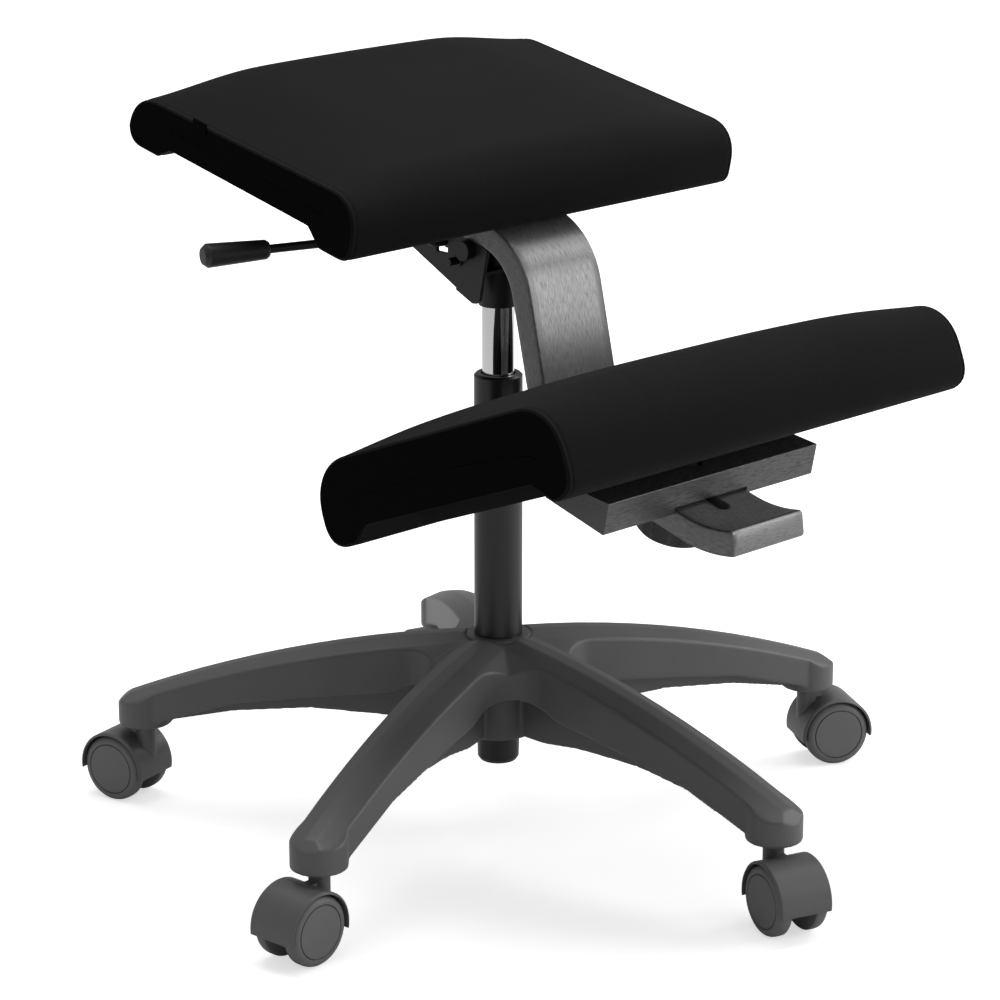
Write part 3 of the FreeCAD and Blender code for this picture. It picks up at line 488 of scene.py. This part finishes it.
# Boards: plywood stained black inside each cushion, with the tee nuts in the upper one
ply = stained_wood("black_plywood", (0.010, 0.009, 0.009), (0.018, 0.016, 0.015), 0.7, coordinates="Object",
                   shine=0.1)
dress(ply, "seat_board", "knee_board")

# Seat and knee pads: moulded foam under a black woven cover. Each end has a flat side panel, and a
# sewn seam runs round it just inside the edge. The underside is hollow and pulled onto the board.
FABRIC_BLACK = (0.0044, 0.0044, 0.0045)
# End panels: darker than the cover, partly the cloth's own colour and partly painted shade on the ends that
# face away from the lamps.
PANEL_BLACK_WITH_SHADE = (0.0012, 0.0012, 0.0012)
SEAM_IN, SEAM_DEPTH, PANEL_EDGE = 0.0042, 0.0010, 0.0020
PANEL_SHARES = (0.12, 0.3, 0.5, 0.7, 0.86)
STITCHED_BAND, STAPLED_LEVEL = 0.0095, 0.0015
FOAM_PRESSURE, CLOTH_FRAMES = 6.0, 14


def woven(name, colour, sheen, shine, pitch=0.0011):
    """Plain weave of a matt yarn: crossing threads, a slubby tone and a dusting of sheen."""
    material = bpy.data.materials.new(name)
    material.use_nodes = True
    tree = material.node_tree
    skin = tree.nodes["Principled BSDF"]
    where = add(tree, "ShaderNodeTexCoord").outputs["UV"]
    scale = 0.31416 / pitch
    warp = add(tree, "ShaderNodeTexWave", {"Vector": where, "Scale": scale, "Distortion": 0.6,
                                           "Detail": 1.0, "Detail Scale": 0.4}, bands_direction="X")
    weft = add(tree, "ShaderNodeTexWave", {"Vector": where, "Scale": scale, "Distortion": 0.6,
                                           "Detail": 1.0, "Detail Scale": 0.4}, bands_direction="Y")
    threads = add(tree, "ShaderNodeMath", {0: warp.outputs["Fac"], 1: weft.outputs["Fac"]},
                  operation="MULTIPLY")
    slub = add(tree, "ShaderNodeTexNoise", {"Vector": where, "Scale": 260.0, "Detail": 4.0})
    height = add(tree, "ShaderNodeMath", {0: threads.outputs[0], 1: slub.outputs["Fac"]}, operation="ADD")
    patch = add(tree, "ShaderNodeTexNoise", {"Vector": where, "Scale": 7.0, "Detail": 3.0})
    blend = add(tree, "ShaderNodeMath", {0: height.outputs[0], 1: patch.outputs["Fac"]}, operation="MULTIPLY")
    tone = add(tree, "ShaderNodeMapRange", {"Value": blend.outputs[0], "From Min": 0.1, "From Max": 0.9})
    shade = add(tree, "ShaderNodeMix", {0: tone.outputs[0], 6: (*[c * 0.65 for c in colour], 1),
                                        7: (*[c * 1.35 for c in colour], 1)}, data_type="RGBA")
    tree.links.new(shade.outputs[2], skin.inputs["Base Color"])
    skin.inputs["Roughness"].default_value = 0.92
    skin.inputs["Specular IOR Level"].default_value = shine
    skin.inputs["Sheen Weight"].default_value = sheen
    skin.inputs["Sheen Roughness"].default_value = 0.55
    skin.inputs["Sheen Tint"].default_value = (0.5, 0.5, 0.5, 1)
    bump = add(tree, "ShaderNodeBump", {"Height": height.outputs[0], "Strength": 0.55, "Distance": 0.00025})
    tree.links.new(bump.outputs[0], skin.inputs["Normal"])
    return material


cover_cloth = woven("black_weave", FABRIC_BLACK, 0.025, 0.12)
# The end panels' cloth: a darker copy of the cover with no sheen, partly painted shade.
panel_cloth_with_shade = woven("black_weave_panel_with_shade", PANEL_BLACK_WITH_SHADE, 0.0, 0.06)


def pad_frame(y, z, slope):
    """Maps u (towards the front along the pad) and v (square to it) to (y, z)."""
    c, s = math.cos(math.radians(slope)), math.sin(math.radians(slope))
    return lambda u, v: (y - u * c + v * s, z + u * s + v * c)


def pad_section(pad, inset, lift, droop=0.0):
    """Rounded outline of the pad across X: hollow underneath, rims turned down, bowed top. Towards the
    ends the top droops, most at the rear."""
    rear, front, thick, rim = pad["rear"], pad["front"], pad["thick"], pad["rim"]
    top, low = thick - inset, -rim + inset
    rear_fall, front_fall = droop * pad["rear_droop"], droop * pad["front_droop"]
    corners = [(-pad["hollow_rear"], 0), (-pad["hollow_rear"] - rim * 1.4, low), (inset - rear, low),
               (inset - rear, top + lift * pad["rear_share"] - rear_fall),
               (-rear * 0.5, top + lift * 0.86 - (rear_fall * 3 + front_fall) / 4),
               (0, top + lift - (rear_fall + front_fall) / 2),
               (front * 0.5, top + lift * 0.83 - (rear_fall + front_fall * 3) / 4),
               (front - inset, top + lift * 0.35 - front_fall), (front - inset, low - pad["front_rim"]),
               (pad["hollow_front"] + rim * 1.4, low - pad["front_rim"]), (pad["hollow_front"], 0)]
    shrink = (thick + rim - 2 * inset) / (thick + rim)
    return runs(corners, [r * shrink for r in pad["radii"]])


def pad_mesh(name, pad):
    """The cover before it swells: one outline after another across the chair, and two end panels."""
    half, at = pad["width"] / 2, pad["at"]
    near_end = [(0.0, PANEL_EDGE), (0.0005, PANEL_EDGE * 0.35), (0.0014, 0.0002), (SEAM_IN - 0.0013, 0.0),
                (SEAM_IN, SEAM_DEPTH), (SEAM_IN + 0.0013, 0.0), (0.009, 0.0)]
    middle = round((half - 0.012) / 0.010)
    right = [(-half + d, inset) for d, inset in near_end]
    right += [(-half + 0.014 + (half - 0.014) * k / middle, 0.0) for k in range(middle)]
    stations = right + [(0.0, 0.0)] + [(-x, inset) for x, inset in right[::-1]]
    counts = [max(3, round(length / 0.009)) for _, length in pad_section(pad, 0.0, pad["crown"])]
    work = bmesh.new()
    weave = work.loops.layers.uv.new("weave")
    rows, across = [], []
    for x, inset in stations:
        share = max(0.0, 1 - (abs(x) / half) ** 2.2)
        ramp = max(0.0, (abs(x) / half - 0.45) / 0.55)
        outline = along(pad_section(pad, inset, pad["crown"] * share, ramp * ramp * (3 - 2 * ramp)), counts)
        rows.append([work.verts.new((x, *at(u, v))) for u, v in outline])
        across.append(outline)
    count = len(rows[0])
    reach = [0.0]
    for a, b in zip(across[len(rows) // 2], across[len(rows) // 2][1:] + across[len(rows) // 2][:1]):
        reach.append(reach[-1] + (b - a).length)
    for i in range(len(rows) - 1):
        for j in range(count):
            k = (j + 1) % count
            face = work.faces.new((rows[i][j], rows[i][k], rows[i + 1][k], rows[i + 1][j]))
            for loop, (row, col) in zip(face.loops, ((i, j), (i, j + 1), (i + 1, j + 1), (i + 1, j))):
                loop[weave].uv = (stations[row][0], reach[col])
            face.smooth = True
    core_v, inward = pad["thick"] / 2, pad["thick"] * 0.55
    for row, outline, x in ((rows[0], across[0], -half), (rows[-1], across[-1], half)):
        ring = row
        for share in PANEL_SHARES:
            inner = []
            for u, v in outline:
                core_u = max(-pad["rear"] + inward, min(pad["front"] - inward, u))
                inner.append(work.verts.new((x, *at(u + (core_u - u) * share, v + (core_v - v) * share))))
            for j in range(count):
                k = (j + 1) % count
                work.faces.new((ring[j], ring[k], inner[k], inner[j]))
            ring = inner
        work.faces.new(ring)
    for face in work.faces:
        if not face.smooth:
            face.smooth = True
            face.material_index = 1
            for loop in face.loops:
                loop[weave].uv = (loop.vert.co.y, loop.vert.co.z)
    bmesh.ops.recalc_face_normals(work, faces=work.faces)
    mesh = bpy.data.meshes.new(name)
    work.to_mesh(mesh)
    work.free()
    mesh.materials.append(cover_cloth)
    mesh.materials.append(panel_cloth_with_shade)
    return mesh


def fill_with_foam(piece, held, cap):
    """Swells the cover between its seams with a short cloth simulation, then keeps the result. No
    point moves further than cap."""
    start = [v.co.copy() for v in piece.data.vertices]
    group = piece.vertex_groups.new(name="held")
    for vertex in piece.data.vertices:
        if held(vertex.co):
            group.add([vertex.index], 1.0, "REPLACE")
    swell = piece.modifiers.new("swell", "CLOTH")
    cloth = swell.settings
    cloth.quality = 4
    cloth.mass = 0.3
    cloth.tension_stiffness = cloth.compression_stiffness = 12
    cloth.bending_stiffness = 0.8
    cloth.vertex_group_mass = "held"
    cloth.use_pressure = True
    cloth.uniform_pressure_force = FOAM_PRESSURE
    cloth.effector_weights.gravity = 0.0
    swell.collision_settings.use_collision = False
    scene = bpy.context.scene
    for number in range(1, CLOTH_FRAMES + 1):
        scene.frame_set(number)
    apply_modifiers(piece)
    for vertex, origin in zip(piece.data.vertices, start):
        move = vertex.co - origin
        if move.length > cap:
            vertex.co = origin + move * (cap / move.length)
    scene.frame_set(1)


def upholster(name, pad, body, node):
    """One cushion's cover: sewn, stapled under the board's rim and filled."""
    piece = new_piece(name, pad_mesh(name, pad), body, "foam_fabric", node)
    half, board = pad["width"] / 2, Vector((0, *pad["at"](0, 0)))
    up = Vector((0, *pad["at"](0, 1))) - board

    def held(co):
        return abs(co.x) > half - STITCHED_BAND or (co - board).dot(up) < STAPLED_LEVEL

    fill_with_foam(piece, held, pad["cap"])
    finer = piece.modifiers.new("finer", "SUBSURF")
    finer.levels = finer.render_levels = 1
    apply_modifiers(piece)
    return piece


seat_pad = dict(width=0.444, rear=0.146, front=0.140, thick=0.042, crown=0.0085, rim=0.011, hollow_rear=0.090,
                hollow_front=0.087, radii=[r / 1000 for r in (4, 5, 14, 30, 0, 0, 0, 26, 11, 5, 4)],
                at=pad_frame(0.075, 0.5915, -11.7), cap=0.003, rear_share=1.1, rear_droop=0.0085,
                front_droop=0.002, front_rim=0.0035)
upholster("seat_upholstery", seat_pad, "seat", "seat_cushion")

# The knee pad's rear edge is cut out round the beam, so that the pad can slide along it
knee_pad = dict(width=0.470, rear=0.139, front=0.1595, thick=0.061, crown=0.0095, rim=0.014,
                hollow_rear=0.087, hollow_front=0.115,
                radii=[r / 1000 for r in (4, 6, 18, 42, 0, 0, 0, 38, 18, 6, 4)],
                at=pad_frame(-0.172, 0.376, 21.5), cap=0.0035, rear_share=0.35, rear_droop=0.003,
                front_droop=0.002, front_rim=0.003)
knee_cover = upholster("knee_upholstery", knee_pad, "knee", "knee_cushion")
NOTCH_HALF = 0.062
notch_runs = runs([(0.2, 0.7), (-0.11198, 0.7), (-0.08198, 0.55388), (-0.11789, 0.39954), (-0.28086, 0.35587),
                   (-0.28086, 0.25), (0.2, 0.25)], [0, 0, 0.063, 0.053, 0, 0, 0])
notch_line = along(notch_runs, [max(1, min(16, round(length / 0.006))) for _, length in notch_runs])
carve(knee_cover, *[[(x, y, z) for y, z in notch_line] for x in (-NOTCH_HALF, NOTCH_HALF)])

# Tag: a bare folded ribbon, sewn into the seat's seam on the sitter's right
TAG_LONG, TAG_HIGH, TAG_THICK = 0.018, 0.009, 0.0011
TAG_SLOPE = math.radians(11.7)
tag_place = sum(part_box("seat_tag"), Vector()) / 2
tag_mesh = bpy.data.meshes.new("ribbon_tag")
tag_work = bmesh.new()
bmesh.ops.create_cube(tag_work, size=1.0)
bmesh.ops.scale(tag_work, vec=(TAG_THICK, TAG_LONG, TAG_HIGH), verts=tag_work.verts)
bmesh.ops.bevel(tag_work, geom=list(tag_work.edges), offset=0.0004, segments=2, affect="EDGES")
bmesh.ops.transform(tag_work, matrix=Matrix.Translation(tag_place) @ Matrix.Rotation(TAG_SLOPE, 4, "X"),
                    verts=tag_work.verts)
tag_work.to_mesh(tag_mesh)
tag_work.free()
tag = new_piece("ribbon_tag", tag_mesh, "seat", "foam_fabric", "seat_tag")
# The ribbon takes the end panels' cloth, whose darker colour is partly painted shade.
tag.data.materials.append(panel_cloth_with_shade)

# Knee carrier: a solid wood wedge in the beam's stain, grooved to ride on it, screwed to the board
carrier_stain = stained_wood("grey_stained_carrier", (0.040, 0.040, 0.041), (0.070, 0.070, 0.071), 0.36,
                             coordinates="Object")
dress(carrier_stain, "knee_carrier")
dress(zinc, "knee_screws", "clamp_bolt", "clamp_washer", "knob_insert")

# Clamp knob: scalloped black nylon round a steel thread insert, under the beam
dress(moulded("knob_black", (0.010, 0.010, 0.0103), 0.4), "clamp_knob")
